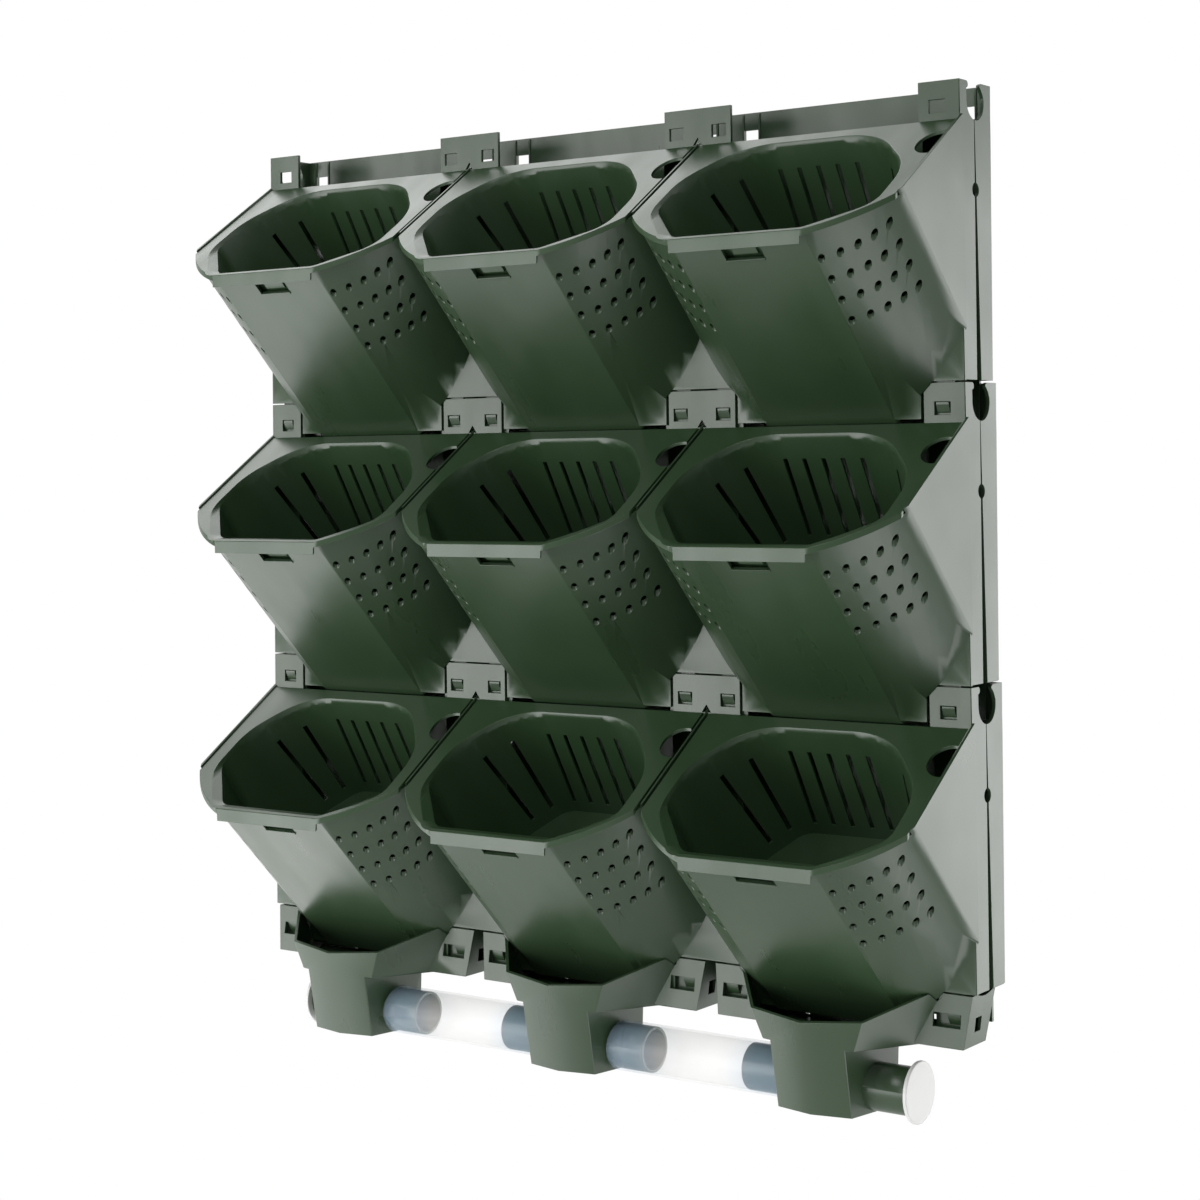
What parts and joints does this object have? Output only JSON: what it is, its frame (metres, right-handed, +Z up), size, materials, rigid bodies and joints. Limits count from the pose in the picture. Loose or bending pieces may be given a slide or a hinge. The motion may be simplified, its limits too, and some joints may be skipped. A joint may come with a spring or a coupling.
{
  "type": "vertical wall planter",
  "caption": "Wall-hung planter of dark green plastic with stacked rows of faceted pockets, lift-out slotted liners and drain collectors joined by frosted tubes.",
  "frame": {"origin": "on the wall plane, at the middle of the mid row's rail, level with the tips of the notches under that row's tabs", "axes": "+X right along the wall as seen from the front, +Y into the wall, +Z up"},
  "size_m": [0.6, 0.1605, 0.6604],
  "materials": {
    "body_green": "satin",
    "liner_green": "satin",
    "frosted": "frosted translucent plastic",
    "white": "satin"
  },
  "bodies": {
    "frame": {"housing_top": "body_green", "housing_mid": "body_green", "housing_low": "body_green", "back_panel_top": "body_green", "back_panel_mid": "body_green", "back_panel_low": "body_green", "collector_left": "body_green", "collector_mid": "body_green", "collector_right": "body_green", "tube_left": "frosted", "tube_right": "frosted"},
    "liner_top_left": {"liner_top_left": "liner_green"},
    "liner_top_mid": {"liner_top_mid": "liner_green"},
    "liner_top_right": {"liner_top_right": "liner_green"},
    "liner_mid_left": {"liner_mid_left": "liner_green"},
    "liner_mid_mid": {"liner_mid_mid": "liner_green"},
    "liner_mid_right": {"liner_mid_right": "liner_green"},
    "liner_low_left": {"liner_low_left": "liner_green"},
    "liner_low_mid": {"liner_low_mid": "liner_green"},
    "liner_low_right": {"liner_low_right": "liner_green"},
    "plug_left": {"plug_left": "white"},
    "plug_right": {"plug_right": "white"}
  },
  "joints": [
    {"name": "liner_top_left_lift", "type": "slide", "parent": "frame", "child": "liner_top_left", "axis": [0, -0.7053, 0.7089], "range_m": [0, 0.145]},
    {"name": "liner_top_mid_lift", "type": "slide", "parent": "frame", "child": "liner_top_mid", "axis": [0, -0.7053, 0.7089], "range_m": [0, 0.145]},
    {"name": "liner_top_right_lift", "type": "slide", "parent": "frame", "child": "liner_top_right", "axis": [0, -0.7053, 0.7089], "range_m": [0, 0.145]},
    {"name": "liner_mid_left_lift", "type": "slide", "parent": "frame", "child": "liner_mid_left", "axis": [0, -0.7053, 0.7089], "range_m": [0, 0.145]},
    {"name": "liner_mid_mid_lift", "type": "slide", "parent": "frame", "child": "liner_mid_mid", "axis": [0, -0.7053, 0.7089], "range_m": [0, 0.145]},
    {"name": "liner_mid_right_lift", "type": "slide", "parent": "frame", "child": "liner_mid_right", "axis": [0, -0.7053, 0.7089], "range_m": [0, 0.145]},
    {"name": "liner_low_left_lift", "type": "slide", "parent": "frame", "child": "liner_low_left", "axis": [0, -0.7053, 0.7089], "range_m": [0, 0.145]},
    {"name": "liner_low_mid_lift", "type": "slide", "parent": "frame", "child": "liner_low_mid", "axis": [0, -0.7053, 0.7089], "range_m": [0, 0.145]},
    {"name": "liner_low_right_lift", "type": "slide", "parent": "frame", "child": "liner_low_right", "axis": [0, -0.7053, 0.7089], "range_m": [0, 0.145]},
    {"name": "plug_left_pull", "type": "slide", "parent": "frame", "child": "plug_left", "axis": [-1, 0, 0], "range_m": [0, 0.03]},
    {"name": "plug_right_pull", "type": "slide", "parent": "frame", "child": "plug_right", "axis": [1, 0, 0], "range_m": [0, 0.03]}
  ]
}
